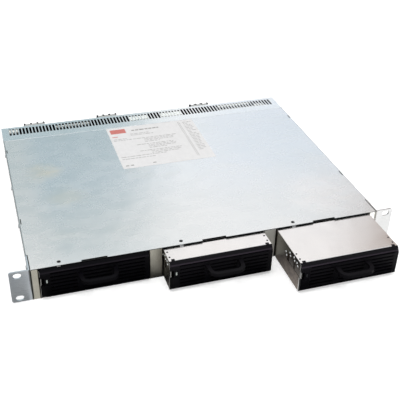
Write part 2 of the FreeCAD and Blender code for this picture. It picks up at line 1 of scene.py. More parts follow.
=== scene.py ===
# %% [markdown]
# # A rack power shelf with three plug-in modules
# The imported CAD part is the frame of this scene: every solid is already in its place, in metres.
# Here it gets its finishes and the small things that are not worth a solid, such as screws and print.
# Loading comes first.

# %% Load the part
import math
import random

import bmesh
import bpy
from mathutils import Matrix, Vector


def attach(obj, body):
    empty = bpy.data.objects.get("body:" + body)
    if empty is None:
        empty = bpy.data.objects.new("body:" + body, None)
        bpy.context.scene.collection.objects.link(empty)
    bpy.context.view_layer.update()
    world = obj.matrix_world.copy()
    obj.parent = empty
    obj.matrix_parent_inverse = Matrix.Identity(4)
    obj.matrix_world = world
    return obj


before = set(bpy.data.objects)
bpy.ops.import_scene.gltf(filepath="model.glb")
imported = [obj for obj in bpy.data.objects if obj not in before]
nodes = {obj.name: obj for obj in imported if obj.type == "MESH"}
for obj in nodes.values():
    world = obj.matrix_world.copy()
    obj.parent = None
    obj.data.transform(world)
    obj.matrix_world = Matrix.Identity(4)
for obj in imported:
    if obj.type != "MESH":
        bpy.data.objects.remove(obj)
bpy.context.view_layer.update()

MM = 0.001

# %% [markdown]
# ## The camera
# The viewpoint was found by fitting the corners of the shelf to the picture: the camera stands in front,
# a little to the left, and looks down on the cover. Its place is kept as a point, a heading, a tilt and
# a small roll, because those four are easier to read and to correct than a table of numbers.

# %% Camera
view_point = Vector((-240.56, -653.31, 553.57)) * MM
heading, tilt, roll = math.radians(18.66), math.radians(33.19), math.radians(1.708)
camera_data = bpy.data.cameras.new("portrait_camera")
camera_data.sensor_width = 36
camera_data.lens = 64.77
camera = bpy.data.objects.new("portrait_camera", camera_data)
turned = Matrix.Rotation(-heading, 4, "Z") @ Matrix.Rotation(math.pi / 2 - tilt, 4, "X")
camera.matrix_world = Matrix.Translation(view_point) @ turned @ Matrix.Rotation(roll, 4, "Z")
bpy.context.scene.collection.objects.link(camera)
bpy.context.scene.camera = camera
bpy.context.scene.view_settings.view_transform = "Standard"
print("lens in mm:", round(camera_data.lens, 2))

# %% [markdown]
# ## The studio
# The shelf stands on a white table in an evenly lit room. The floor is an ordinary matt white that keeps
# the shadow, with a little light of its own for the camera and for reflections, so that it ends up white
# without more light on the object. That light grows away from the lamps, which hides the floor's end, and
# the room is white in the same way.

# %% Floor and room


def keep_mesh(name, bm, material):
    """Turns a finished bmesh into an object of one finish that sits at the origin."""
    mesh = bpy.data.meshes.new(name)
    bm.to_mesh(mesh)
    bm.free()
    mesh.materials.append(material)
    thing = bpy.data.objects.new(name, mesh)
    bpy.context.scene.collection.objects.link(thing)
    return thing


def reckon(owner, operation, *values):
    """One step of arithmetic on patterns or plain numbers, for a material or for the room."""
    tree = owner.node_tree
    step = tree.nodes.new("ShaderNodeMath")
    step.operation = operation
    for socket, value in zip(step.inputs, values):
        if isinstance(value, (int, float)):
            socket.default_value = value
        else:
            tree.links.new(value, socket)
    return step.outputs[0]


def stretch(owner, value, low, high, new_low, new_high):
    """Maps a stretch of a pattern onto a new range."""
    tree = owner.node_tree
    change = tree.nodes.new("ShaderNodeMapRange")
    tree.links.new(value, change.inputs["Value"])
    for socket, number in zip(("From Min", "From Max", "To Min", "To Max"),
                              (low, high, new_low, new_high)):
        change.inputs[socket].default_value = number
    return change.outputs["Result"]


def seen_directly(owner):
    """Value 1 for rays from the camera, from a reflection or through glass."""
    path = owner.node_tree.nodes.new("ShaderNodeLightPath")
    total = path.outputs["Is Camera Ray"]
    for kind in ("Is Glossy Ray", "Is Transmission Ray"):
        total = reckon(owner, "MAXIMUM", total, path.outputs[kind])
    return total


def bare_material(name):
    """A material without nodes, and its empty tree."""
    material = bpy.data.materials.new(name)
    material.use_nodes = True
    material.node_tree.nodes.clear()
    return material, material.node_tree


def floor_finish(own_light, far_light, near=0.8, far=2.2):
    """Matt white whose own light grows between two distances in metres."""
    material, tree = bare_material("studio_floor")
    matt = tree.nodes.new("ShaderNodeBsdfDiffuse")
    matt.inputs["Color"].default_value = (0.82, 0.82, 0.82, 1)
    away = tree.nodes.new("ShaderNodeVectorMath")
    away.operation = "LENGTH"
    tree.links.new(tree.nodes.new("ShaderNodeTexCoord").outputs["Object"], away.inputs[0])
    growing = stretch(material, away.outputs["Value"], near, far, own_light, far_light)
    glow = tree.nodes.new("ShaderNodeEmission")
    tree.links.new(reckon(material, "MULTIPLY", seen_directly(material), growing), glow.inputs["Strength"])
    both = tree.nodes.new("ShaderNodeAddShader")
    surface = tree.nodes.new("ShaderNodeOutputMaterial")
    tree.links.new(matt.outputs[0], both.inputs[0])
    tree.links.new(glow.outputs[0], both.inputs[1])
    tree.links.new(both.outputs[0], surface.inputs["Surface"])
    return material


def room_light(ambient):
    """A room that looks white and gives the object only part of that light."""
    world = bpy.data.worlds.new("studio_room")
    world.use_nodes = True
    sky = world.node_tree.nodes["Background"]
    sky.inputs["Color"].default_value = (1, 1, 1, 1)
    level = stretch(world, seen_directly(world), 0, 1, ambient, 1)
    world.node_tree.links.new(level, sky.inputs["Strength"])
    bpy.context.scene.world = world


floor_radius, floor_level = 7, -0.2 * MM
floor_bm = bmesh.new()
bmesh.ops.create_circle(floor_bm, cap_ends=True, segments=48, radius=floor_radius)
bmesh.ops.translate(floor_bm, verts=floor_bm.verts, vec=(0, 0, floor_level))
floor = keep_mesh("studio_floor", floor_bm, floor_finish(own_light=0.42, far_light=0.56))
room_light(ambient=0.58)
print("floor across in m:", round(floor.dimensions.x, 1))

# %% [markdown]
# Two soft lamps shape the light, one overhead and one at the right front. Reflections don't see them. Bright
# sheet metal mostly shows what stands around it, so cards hang all round the shelf and lie on the floor, as
# a photographer's flags would. Only reflections see the cards: they darken the far left of the cover, the
# right end of the drawn-out module and, most of all, the upright faces, which would otherwise show nothing
# but white floor.

# %% Lamps and flags


def soft_lamp(name, place, aim, width, power):
    """A round lamp at a place in metres, turned to a point."""
    lamp = bpy.data.lights.new(name, "AREA")
    lamp.shape = "DISK"
    lamp.size = width
    lamp.energy = power
    holder = bpy.data.objects.new(name, lamp)
    direction = Vector(aim) - Vector(place)
    turn = direction.to_track_quat("-Z", "Y").to_matrix().to_4x4()
    holder.matrix_world = Matrix.Translation(place) @ turn
    holder.visible_glossy = False
    bpy.context.scene.collection.objects.link(holder)


def axis_of(material, source, axis):
    """One axis of a point's place, "Object", or of the way its face looks, "True Normal"."""
    tree = material.node_tree
    kind = "ShaderNodeTexCoord" if source == "Object" else "ShaderNodeNewGeometry"
    split = tree.nodes.new("ShaderNodeSeparateXYZ")
    tree.links.new(tree.nodes.new(kind).outputs[source], split.inputs["Vector"])
    return split.outputs[axis]


def blend_colours(material, value, first, second):
    """Mixes two colours, or the colours of two earlier steps, by a pattern."""
    tree = material.node_tree
    mix = tree.nodes.new("ShaderNodeMix")
    mix.data_type = "RGBA"
    tree.links.new(value, mix.inputs["Factor"])
    for socket, colour in zip((mix.inputs[6], mix.inputs[7]), (first, second)):
        if isinstance(colour, tuple):
            socket.default_value = (*colour, 1)
        else:
            tree.links.new(colour, socket)
    return mix.outputs[2]


def only_reflected(name, bm, near, far, axis="Y", start=0.0, end=1.0):
    """A card whose glow goes from one colour to another along an axis. Only reflections see it."""
    material, tree = bare_material(name)
    fade = stretch(material, axis_of(material, "Object", axis), start, end, 0, 1)
    glow = tree.nodes.new("ShaderNodeEmission")
    surface = tree.nodes.new("ShaderNodeOutputMaterial")
    tree.links.new(blend_colours(material, fade, near, far), glow.inputs["Color"])
    tree.links.new(glow.outputs[0], surface.inputs["Surface"])
    card = keep_mesh(name, bm, material)
    card.visible_camera = False
    card.visible_diffuse = False
    card.visible_shadow = False


CARD_DISTANCE, CARD_LIFT = 3, 0.2  # in metres, in millimetres


def hung_card(name, headings, heights, colour):
    """A curved card between two headings and two heights in degrees, round the object."""
    bm = bmesh.new()
    low, high = (math.tan(math.radians(angle)) * CARD_DISTANCE for angle in heights)
    start, end = (math.radians(90 - angle) for angle in headings)
    x, y = math.cos(start) * CARD_DISTANCE, math.sin(start) * CARD_DISTANCE
    foot, head = bm.verts.new((x, y, low)), bm.verts.new((x, y, high))
    edge = bm.edges.new((foot, head))
    bmesh.ops.spin(bm, geom=[foot, head, edge], cent=(0, 0, 0), axis=(0, 0, 1),
                   angle=end - start, steps=12)
    only_reflected(name, bm, colour, colour)


def laid_card(name, x, y, near, far, axis, start, end):
    """A flat card on the floor between pairs of numbers in millimetres."""
    bm = bmesh.new()
    bmesh.ops.create_grid(bm, x_segments=1, y_segments=1, size=0.5)
    bmesh.ops.scale(bm, verts=bm.verts, vec=((x[1] - x[0]) * MM, (y[1] - y[0]) * MM, 1))
    middle = ((x[0] + x[1]) / 2 * MM, (y[0] + y[1]) / 2 * MM, CARD_LIFT * MM)
    bmesh.ops.translate(bm, verts=bm.verts, vec=middle)
    only_reflected(name, bm, (near,) * 3, (far,) * 3, axis, start * MM, end * MM)


soft_lamp("overhead_lamp", (-0.3, -0.2, 2.2), (0, 0.1, 0), 1.6, 24)
soft_lamp("right_lamp", (1.5, -1.1, 1.3), (0.3, -0.1, 0), 0.9, 14)
hung_card("left_flag", (-50, 12), (2, 40), (0.44, 0.535, 0.565))
hung_card("rear_flag", (19, 38), (2, 32), (0.82, 0.865, 0.925))
hung_card("right_flag", (38, 75), (2, 45), (0.43, 0.365, 0.33))
hung_card("right_front_card", (75, 150), (2, 45), (0.58, 0.62, 0.65))
hung_card("front_card", (150, 212), (2, 45), (0.68, 0.72, 0.75))
hung_card("left_front_card", (212, 310), (2, 45), (0.56, 0.6, 0.64))
laid_card("left_front_flag", (-203, -76), (-420, 0), 0.03, 0.7, "Y", -15, -90)
laid_card("left_divider_flag", (-76, -48), (-420, 0), 0.02, 0.9, "Y", -6, -75)
laid_card("middle_front_flag", (-48, 60), (-420, 0), 0.03, 0.7, "Y", -40, -120)
laid_card("right_divider_flag", (60, 100), (-80, 0), 0.16, 0.8, "Y", 0, -70)
laid_card("right_front_flag", (60, 214), (-420, -80), 0.04, 0.7, "Y", -88, -170)
laid_card("left_floor_flag", (-620, -222), (-420, 420), 0.29, 0.42, "Y", 0, -75)
laid_card("post_floor_flag", (-222, -203), (-420, 0), 0.58, 0.68, "Y", 0, -75)
laid_card("right_floor_flag", (222, 620), (4, 420), 0.35, 0.85, "X", 222, 420)
laid_card("rear_floor_flag", (-620, 620), (420, 900), 0.6, 0.9, "Y", 420, 700)
laid_card("rear_edge_flag", (-222, 222), (352, 420), 0.25, 0.6, "Y", 352, 420)

# %% [markdown]
# ## Finishes
# Every finish is built from the same few steps: a shader with its plain values, patterns of noise read
# from the object's own coordinates, and links that let a pattern tint the colour, roughen the gloss or
# raise the surface. The patterns are given in millimetres, so that they can be judged against real metal.

# %% Pattern helpers


def finish(name, colour, metal, gloss_roughness, **direct):
    """A principled material with its uniform values set on the shader itself."""
    material = bpy.data.materials.new(name)
    material.use_nodes = True
    shader = material.node_tree.nodes["Principled BSDF"]
    shader.inputs["Base Color"].default_value = (*colour, 1)
    shader.inputs["Metallic"].default_value = metal
    shader.inputs["Roughness"].default_value = gloss_roughness
    for socket, value in direct.items():
        shader.inputs[socket.replace("_", " ")].default_value = value
    return material


def in_millimetres(material, feature, offset=(0, 0, 0)):
    """Object coordinates scaled so that one unit is the given feature size."""
    tree = material.node_tree
    place = tree.nodes.new("ShaderNodeTexCoord")
    scaled = tree.nodes.new("ShaderNodeMapping")
    sizes = feature if isinstance(feature, tuple) else (feature,) * 3
    scaled.inputs["Scale"].default_value = [1 / (size * MM) for size in sizes]
    scaled.inputs["Location"].default_value = offset
    tree.links.new(place.outputs["Object"], scaled.inputs["Vector"])
    return scaled.outputs["Vector"]


def clouds(material, feature, detail=3, broken=0.55, offset=(0, 0, 0)):
    """Noise whose patches are about as large as the feature size."""
    tree = material.node_tree
    noise = tree.nodes.new("ShaderNodeTexNoise")
    noise.inputs["Scale"].default_value = 1
    noise.inputs["Detail"].default_value = detail
    noise.inputs["Roughness"].default_value = broken
    tree.links.new(in_millimetres(material, feature, offset), noise.inputs["Vector"])
    return noise.outputs["Fac"]


def crystals(material, feature):
    """A cell pattern, one random grey to a cell."""
    tree = material.node_tree
    cells = tree.nodes.new("ShaderNodeTexVoronoi")
    cells.inputs["Scale"].default_value = 1
    tree.links.new(in_millimetres(material, feature), cells.inputs["Vector"])
    split = tree.nodes.new("ShaderNodeSeparateColor")
    tree.links.new(cells.outputs["Color"], split.inputs["Color"])
    return split.outputs["Red"]


def feed(material, socket, value):
    """Lets a pattern set one value of the shader."""
    shader = material.node_tree.nodes["Principled BSDF"]
    material.node_tree.links.new(value, shader.inputs[socket])


def paint(material, colour):
    feed(material, "Base Color", colour)


def overlay(material, mask, colour):
    """Lays a colour over the one a finish has so far, where a mask or pattern says so."""
    shader = material.node_tree.nodes["Principled BSDF"]
    so_far = shader.inputs["Base Color"].links[0].from_socket
    paint(material, blend_colours(material, mask, so_far, colour))


def roughen(material, value):
    feed(material, "Roughness", value)


def emboss(material, value, height, strength=1.0):
    """Raises the surface by a pattern, the height in millimetres. Later calls stack on earlier ones."""
    tree = material.node_tree
    shader = tree.nodes["Principled BSDF"]
    bump = tree.nodes.new("ShaderNodeBump")
    bump.inputs["Strength"].default_value = strength
    bump.inputs["Distance"].default_value = height * MM
    tree.links.new(value, bump.inputs["Height"])
    for link in shader.inputs["Normal"].links:
        tree.links.new(link.from_socket, bump.inputs["Normal"])
    tree.links.new(bump.outputs["Normal"], shader.inputs["Normal"])


def dress(material, *names):
    """Gives CAD nodes a finish. Their shapes stay as they are."""
    for name in names:
        for place in nodes[name].material_slots:
            place.material = material
    print(material.name, "on", len(names), "solids")


SIDES = ("left", "middle", "right")


def in_each_module(*pieces):
    return [f"{side}_{piece}" for side in SIDES for piece in pieces]


# %% [markdown]
# ### Zinc-plated shelf sheet
# The tray, the rear frame and the cover are cold-rolled sheet with a clear passivated zinc plate. It looks
# pale blue-grey with broad clouds, some of them straw yellow, over a faint grain in the rolling direction.
# Three sizes of noise do that: broad clouds for the colour, middle ones for the gloss, fine ones as grain.
# A few patches have a place of their own, each a soft ball of tone broken up by noise: two straw stains on
# the left, and a painted highlight at the right front. The sheared front edges are bare steel, painted darker
# still as the painted shade of the gap above the modules, and the punched vent slots carry painted shade as
# well. A narrow band along the side bends is painted darker, the painted shade of the rounded bend. The tone
# grows warmer towards the front and lighter towards the left edge.

# %% Zinc sheet


def soft_patch(material, middle, reach, strength):
    """A soft patch round a point in millimetres, broken up at its rim."""
    tree = material.node_tree
    ball = tree.nodes.new("ShaderNodeTexGradient")
    ball.gradient_type = "SPHERICAL"
    offset = tuple(-place / size for place, size in zip(middle, reach))
    tree.links.new(in_millimetres(material, reach, offset), ball.inputs["Vector"])
    broken = reckon(material, "MULTIPLY", ball.outputs["Fac"], clouds(material, (24, 18, 18), 3, 0.6))
    return stretch(material, broken, 0.1, 0.36, 0, strength)


def all_of(material, *masks):
    """1 where every mask is 1."""
    result = masks[0]
    for mask in masks[1:]:
        result = reckon(material, "MULTIPLY", result, mask)
    return result


def between(material, value, low, high):
    """1 where the size of a value, its sign left off, lies between two limits."""
    size = reckon(material, "ABSOLUTE", value)
    above, below = reckon(material, "GREATER_THAN", size, low), reckon(material, "LESS_THAN", size, high)
    return all_of(material, above, below)


def faces_in_box(material, x, y, z, facing, low, high):
    """1 on the faces in a box in millimetres, found by how far they look along an axis."""
    masks = [between(material, axis_of(material, "Object", axis), span[0] * MM, span[1] * MM)
             for axis, span in (("X", x), ("Y", y), ("Z", z))]
    return all_of(material, between(material, axis_of(material, "True Normal", facing), low, high), *masks)


def take_off_shine(material, mask):
    """No metal and no shine where the mask is 1, so that painted shade on a narrow face stays dark at any
    angle.
    """
    for socket, full in (("Metallic", 1.0), ("Specular IOR Level", 0.5)):
        feed(material, socket, stretch(material, mask, 0, 1, full, 0))


def ramp(material, axis, start, end, first, last):
    """A value that changes between two places along an axis, given in millimetres."""
    return stretch(material, axis_of(material, "Object", axis), start * MM, end * MM, first, last)


def zinc_sheet(name, dull, bright):
    """The sheet itself, over which stains, painted highlights and painted shade are laid."""
    material = finish(name, dull, 1.0, 0.28)
    broad = stretch(material, clouds(material, (150, 110, 60), 2, 0.5, (0.3, 0.1, 0)), 0.36, 0.64, 0, 1)
    paint(material, blend_colours(material, broad, dull, bright))
    straw = stretch(material, clouds(material, (70, 52, 40), 3, 0.55, (2.1, 0.6, 0)), 0.56, 0.74, 0, 0.3)
    overlay(material, straw, (0.9, 0.885, 0.83))
    grain = stretch(material, clouds(material, (140, 7, 7), 3, 0.5), 0.3, 0.7, 0, 0.14)
    overlay(material, grain, (0.93, 0.945, 0.96))
    roughen(material, stretch(material, clouds(material, (30, 22, 22), 3, 0.5), 0.3, 0.7, 0.23, 0.31))
    emboss(material, clouds(material, (48, 40, 40), 2, 0.5), 0.45, 1.0)
    return material


# near-black: the bare steel of the cut edges, painted darker still as shade
SHADED_BARE_STEEL = (0.1, 0.105, 0.11)
cover_zinc = zinc_sheet("cover_zinc", (0.818, 0.862, 0.888), (0.864, 0.893, 0.92))
COVER_STAINS_AND_HIGHLIGHT = (  # middle and reach in millimetres, strength, colour
    ((-180, 208, 44), (44, 36, 80), 1.0, (1.0, 0.925, 0.83)),
    ((-155, 135, 44), (40, 30, 80), 0.7, (0.96, 0.925, 0.86)),
    # the third patch, at the right front, is a painted highlight
    ((172, 58, 44), (75, 70, 80), 0.6, (1.0, 0.965, 0.95)))
for middle, reach, strength, colour in COVER_STAINS_AND_HIGHLIGHT:
    overlay(cover_zinc, soft_patch(cover_zinc, middle, reach, strength), colour)
warmer_front = ramp(cover_zinc, "Y", 165, 60, 0, 0.5)
overlay(cover_zinc, warmer_front, (0.905, 0.885, 0.855))
left_margin = ramp(cover_zinc, "X", -172, -204, 0, 0.95)
overlay(cover_zinc, left_margin, (1.0, 0.965, 0.945))
# painted shade along the rounded side bends of the cover
side_bend_shade = faces_in_box(cover_zinc, (218.9, 221), (29, 312), (43, 50), "Z", 0.5, 2)
overlay(cover_zinc, side_bend_shade, (0.4, 0.425, 0.43))
# the sheared front edges, painted near-black as the shade of the gap above the modules
front_edge_shade = faces_in_box(cover_zinc, (-1, 230), (-1, 4), (42.79, 50), "Y", 0.9, 2)
overlay(cover_zinc, front_edge_shade, SHADED_BARE_STEEL)
dress(cover_zinc, "chassis_tray", "top_cover")

# %% [markdown]
# The rear frame is the same sheet, a little paler. On its slotted strip the bars between the vents are
# painted bright, a painted highlight, with painted shade along their rims, and the slot walls are painted
# black as the shade inside the slots. Over the two middle pads both stay bright, and the painted rim shade
# fades out towards the right end.

# %% Slotted rear frame
SLOT_PITCH, SLOT_RIM = 4.95, 1.62
PADDED_SLOTS = ((-11.0, 15.5), (40.5, 17.0))  # middle and half length
frame_zinc = zinc_sheet("rear_frame_zinc", (0.9, 0.94, 0.955), (0.93, 0.96, 0.975))
bars = faces_in_box(frame_zinc, (-1, 211), (325, 345), (43.9, 50), "Z", 0.9, 2)
# painted highlight on the tops of the bars
overlay(frame_zinc, bars, (0.98, 0.99, 1.0))
across = axis_of(frame_zinc, "Object", "X")
from_bar = reckon(frame_zinc, "PINGPONG", across, SLOT_PITCH / 2 * MM)
# painted shade along the rims of the slots
rims = all_of(frame_zinc, bars, between(frame_zinc, from_bar, -1, SLOT_RIM * MM))
# the slot walls, painted black as the shade inside the slots
slot_wall_shade = faces_in_box(frame_zinc, (-1, 211), (324, 346), (42, 50), "Z", -1, 0.5)
for middle, half in PADDED_SLOTS:
    open_below = between(frame_zinc, reckon(frame_zinc, "SUBTRACT", across, middle * MM), half * MM, 1)
    rims, slot_wall_shade = (all_of(frame_zinc, mask, open_below) for mask in (rims, slot_wall_shade))
# the painted rim shade fades out towards the right end
rim_shade_fade = ramp(frame_zinc, "X", 105, 140, 1, 0)
overlay(frame_zinc, all_of(frame_zinc, rims, rim_shade_fade), (0.08, 0.084, 0.088))
overlay(frame_zinc, slot_wall_shade, (0.004, 0.004, 0.004))
take_off_shine(frame_zinc, slot_wall_shade)
dress(frame_zinc, "rear_frame")

# %% [markdown]
# ### Posts, dividers and ears
# The folded posts and dividers between the bays are brushed nickel-plated steel, warmer than the zinc and
# brushed upwards. The two on the right are a lit copy of that finish, painted brighter as painted light. The
# rack ears are the same sheet in a cooler satin, the right one in a more neutral grey. Long narrow noise
# gives the brushing.

# %% Posts and ears


def brushed(name, dark, light, along, roughness):
    """Brushed metal whose strokes run along one axis, given as 0, 1 or 2."""
    material = finish(name, light, 1.0, roughness)
    stroke = [0.35, 0.35, 0.35]
    stroke[along] = 22.0
    lines = clouds(material, tuple(stroke), 4, 0.65)
    shade = stretch(material, clouds(material, 26, 2, 0.5), 0.3, 0.7, 0, 1)
    paint(material, blend_colours(material, shade, dark, light))
    overlay(material, stretch(material, lines, 0.35, 0.65, 0, 0.35), light)
    roughen(material, stretch(material, lines, 0.3, 0.7, roughness - 0.07, roughness + 0.08))
    emboss(material, lines, 0.01, 0.5)
    return material


post_plate = brushed("bay_post_plate", (0.57, 0.55, 0.465), (0.7, 0.67, 0.575), 2, 0.3)
dress(post_plate, "bay_post_left", "bay_divider_left")
# a lit copy of the post finish, painted brighter as painted light
lit_post_plate = brushed("lit_post_plate", (0.92, 0.91, 0.85), (0.98, 0.97, 0.92), 2, 0.45)
dress(lit_post_plate, "bay_divider_right", "bay_post_right")
ear_plate = brushed("rack_ear_plate", (0.6, 0.65, 0.69), (0.7, 0.74, 0.77), 0, 0.3)
dress(ear_plate, "rack_ear_left")
right_ear_plate = brushed("right_ear_plate", (0.6, 0.605, 0.605), (0.67, 0.67, 0.665), 0, 0.3)
dress(right_ear_plate, "rack_ear_right")

# %% [markdown]
# ### Module cases
# The module lids are bright plated steel with a pinkish warmth, and the trays under them a duller, browner
# sheet, whose dark tone is partly a painted reflection of the shaded floor beside them. They were handled a
# lot, so the gloss changes softly from place to place, and the trays carry smudges. The trays are painted
# darker towards the top, as painted shade, and paler behind a slanting line, as a painted reflection. The
# latch is dull spring steel with a polished tip.

# %% Module cases and latches


def plated(name, dull, bright, roughness):
    """Smooth plate with soft clouds of tone and gloss and a faint grain from front to rear."""
    material = finish(name, bright, 1.0, roughness)
    warm = stretch(material, clouds(material, (60, 80, 60), 2, 0.5), 0.3, 0.7, 0, 1)
    paint(material, blend_colours(material, warm, dull, bright))
    grain = clouds(material, (0.9, 20, 0.9), 3, 0.5)
    light = tuple(min(1.0, part * 1.05) for part in bright)
    overlay(material, stretch(material, grain, 0.3, 0.7, 0, 0.3), light)
    hand_marks = clouds(material, (22, 30, 22), 4, 0.6)
    roughen(material, stretch(material, hand_marks, 0.3, 0.7, roughness - 0.04, roughness + 0.05))
    emboss(material, clouds(material, (50, 60, 50), 2, 0.5), 0.2)
    emboss(material, grain, 0.002, 0.3)
    return material


lid_plate = plated("module_lid_plate", (0.88, 0.843, 0.825), (0.92, 0.893, 0.88), 0.22)
dress(lid_plate, *in_each_module("case_lid"))
# the dark brown tone of the trays is partly a painted reflection of the shaded floor beside them
case_plate = plated("module_case_plate", (0.178, 0.138, 0.11), (0.225, 0.182, 0.15), 0.26)
# painted shade: the trays darken towards the top
upper_shade = ramp(case_plate, "Z", 16, 36, 0, 0.6)
overlay(case_plate, upper_shade, (0.1, 0.08, 0.066))
smudges = stretch(case_plate, clouds(case_plate, (7, 9, 6), 5, 0.65), 0.46, 0.6, 0, 0.55)
overlay(case_plate, smudges, (0.075, 0.058, 0.047))
# painted reflection: the trays are paler behind a slanting line
REFLECTION_SLOPE = 1.13
height, depth = (axis_of(case_plate, "Object", axis) for axis in "ZY")
reflection_line = reckon(case_plate, "MULTIPLY_ADD", height, REFLECTION_SLOPE, depth)
painted_reflection = stretch(case_plate, reflection_line, -2.5 * MM, 2.5 * MM, 0, 0.85)
overlay(case_plate, painted_reflection, (0.44, 0.43, 0.385))
dress(case_plate, *in_each_module("case_tray"))

pull = {"left": 0.0, "middle": 27.0, "right": 71.5}
centre = {"left": -144.8, "middle": 0.0, "right": 144.8}
MODULE_HALF = 63.5
latch_steel = brushed("latch_spring_steel", (0.17, 0.145, 0.125), (0.23, 0.2, 0.175), 1, 0.3)
for side in SIDES:
    flank, front = abs(centre[side] - MODULE_HALF), pull[side]
    tip = faces_in_box(latch_steel, (flank - 3, flank + 3), (front - 1, front + 3.6), (20, 32), "X", -1, 2)
    overlay(latch_steel, tip, (0.48, 0.47, 0.45))
dress(latch_steel, *in_each_module("release_latch"))

# %% [markdown]
# ### Moulded black plastic
# The bezels and pull handles are moulded from black flame-proof plastic. The mould was spark-eroded, so
# the skin is a fine even grain, and it shows a cold bluish sheen where it faces the lamps. A fine noise
# gives the grain, a slower one the slight flow marks of the moulding. The upper part is painted paler, as
# painted light, and the line of the top edge is a painted highlight, most of all on the two modules that are
# drawn out into the light.

# %% Bezels and handles


def moulded(name, colour, light, roughness, grain=0.45, depth=0.03, shine=0.5):
    """Moulded plastic, with the size and the depth of its grain in millimetres."""
    material = finish(name, colour, 0.0, roughness, IOR=1.5, Specular_IOR_Level=shine)
    flow = stretch(material, clouds(material, (30, 30, 12), 3, 0.6), 0.3, 0.7, 0, 1)
    paint(material, blend_colours(material, flow, colour, light))
    gloss = clouds(material, 14, 4, 0.6)
    roughen(material, stretch(material, gloss, 0.3, 0.7, roughness - 0.06, roughness + 0.06))
    emboss(material, clouds(material, grain, 2, 0.5), depth, 0.6)
    return material


bezel_black = moulded("bezel_black", (0.0010, 0.0009, 0.0014), (0.0022, 0.0019, 0.0032), 0.38, shine=0.05)
drawn_out = ramp(bezel_black, "X", -75, -65, 0.3, 1)
# painted light: the upper part of the bezel is paler
lit = all_of(bezel_black, ramp(bezel_black, "Z", 12, 40, 0, 1), drawn_out)
overlay(bezel_black, lit, (0.0075, 0.0068, 0.0085))
level = axis_of(bezel_black, "Object", "Z")
# painted highlight along the line of the top edge
bevel_highlight = all_of(bezel_black, between(bezel_black, level, 36.7 * MM, 38.1 * MM), drawn_out)
overlay(bezel_black, bevel_highlight, (0.026, 0.021, 0.028))
dress(bezel_black, *in_each_module("bezel", "pull_handle"))
fan_black = moulded("fan_black", (0.006, 0.006, 0.0065), (0.01, 0.01, 0.011), 0.5, shine=0.25)
dress(fan_black, *in_each_module("fan_frames", "fan_rotor_left", "fan_rotor_right"))

# %% [markdown]
# ### Rear connections
# The terminal blocks behind the rear wall are dark grey moulded plastic, the sockets and plugs inside are
# black. The output bars are tinned copper and the signal connectors have tinned steel shells.

# %% Connectors and bars
terminal_grey = moulded("terminal_grey", (0.03, 0.031, 0.032), (0.045, 0.046, 0.047), 0.5, 0.8, 0.02, 0.2)
dress(terminal_grey, "input_terminal_left", "input_terminal_middle", "input_terminal_right")
connector_black = moulded("connector_black", (0.018, 0.018, 0.02), (0.028, 0.028, 0.03), 0.46)
dress(connector_black, "backplane_sockets", *in_each_module("plug_connector"))
tinned_copper = finish("tinned_copper", (0.84, 0.83, 0.8), 1.0, 0.36)
tin = stretch(tinned_copper, clouds(tinned_copper, 12, 4, 0.6), 0.3, 0.7, 0, 1)
paint(tinned_copper, blend_colours(tinned_copper, tin, (0.76, 0.75, 0.71), (0.88, 0.875, 0.85)))
roughen(tinned_copper, stretch(tinned_copper, clouds(tinned_copper, 5, 4, 0.6), 0.3, 0.7, 0.28, 0.44))
emboss(tinned_copper, crystals(tinned_copper, 1.5), 0.006, 0.4)
dress(tinned_copper, "busbar_negative", "busbar_positive")
shell_plate = brushed("connector_shell_plate", (0.72, 0.71, 0.68), (0.83, 0.82, 0.79), 0, 0.26)
dress(shell_plate, "signal_connectors")

# %% [markdown]
# ### Inside the modules
# Through the slots one can just make out boards, heatsinks, a transformer and capacitors. They get their
# own finishes, since the modules can be drawn right out: green lacquer over traces, black-anodised fins,
# amber tape round the core and a dark sleeve on the cans.

# %% Boards and parts on them
board_green = finish("board_lacquer", (0.02, 0.12, 0.055), 0.0, 0.32, IOR=1.5)
runs = stretch(board_green, crystals(board_green, (6.5, 2.2, 3)), 0.45, 0.55, 0, 1)
paint(board_green, blend_colours(board_green, runs, (0.012, 0.085, 0.038), (0.03, 0.16, 0.07)))
roughen(board_green, stretch(board_green, clouds(board_green, 8, 3), 0.3, 0.7, 0.26, 0.4))
emboss(board_green, runs, 0.03, 0.6)
dress(board_green, "backplane_board", *in_each_module("circuit_board"))
fin_black = brushed("heatsink_anodised", (0.035, 0.035, 0.04), (0.07, 0.07, 0.078), 1, 0.4)
dress(fin_black, *in_each_module("heatsinks"))
tape_amber = finish("transformer_tape", (0.55, 0.32, 0.03), 0.0, 0.38, IOR=1.46)
wraps = clouds(tape_amber, (40, 40, 1.4), 3, 0.6)
layers = stretch(tape_amber, wraps, 0.35, 0.65, 0, 1)
paint(tape_amber, blend_colours(tape_amber, layers, (0.42, 0.22, 0.02), (0.66, 0.42, 0.06)))
roughen(tape_amber, stretch(tape_amber, wraps, 0.3, 0.7, 0.3, 0.46))
emboss(tape_amber, wraps, 0.05, 0.5)
dress(tape_amber, *in_each_module("transformer"))
sleeve = moulded("can_sleeve", (0.01, 0.014, 0.03), (0.02, 0.026, 0.05), 0.3, 2.0, 0.01)
dress(sleeve, *in_each_module("capacitors"))

# %% [markdown]
# ### Status lights
# A small light pipe shows through each bezel. It shines on the left and the middle module, which are live,
# and it is dark on the right one. The lens is milky, so the light is soft and a little uneven.

# %% Status lights


def light_pipe(name, colour, edge, own_light):
    """A milky lens of two tones with some light of its own."""
    material = finish(name, colour, 0.0, 0.25, IOR=1.49)
    haze = stretch(material, clouds(material, 1.2, 3, 0.6), 0.3, 0.7, 0, 1)
    paint(material, blend_colours(material, haze, edge, colour))
    shader = material.node_tree.nodes["Principled BSDF"]
    shader.inputs["Emission Color"].default_value = (*colour, 1)
    shader.inputs["Emission Strength"].default_value = own_light
    emboss(material, haze, 0.02, 0.4)
    return material


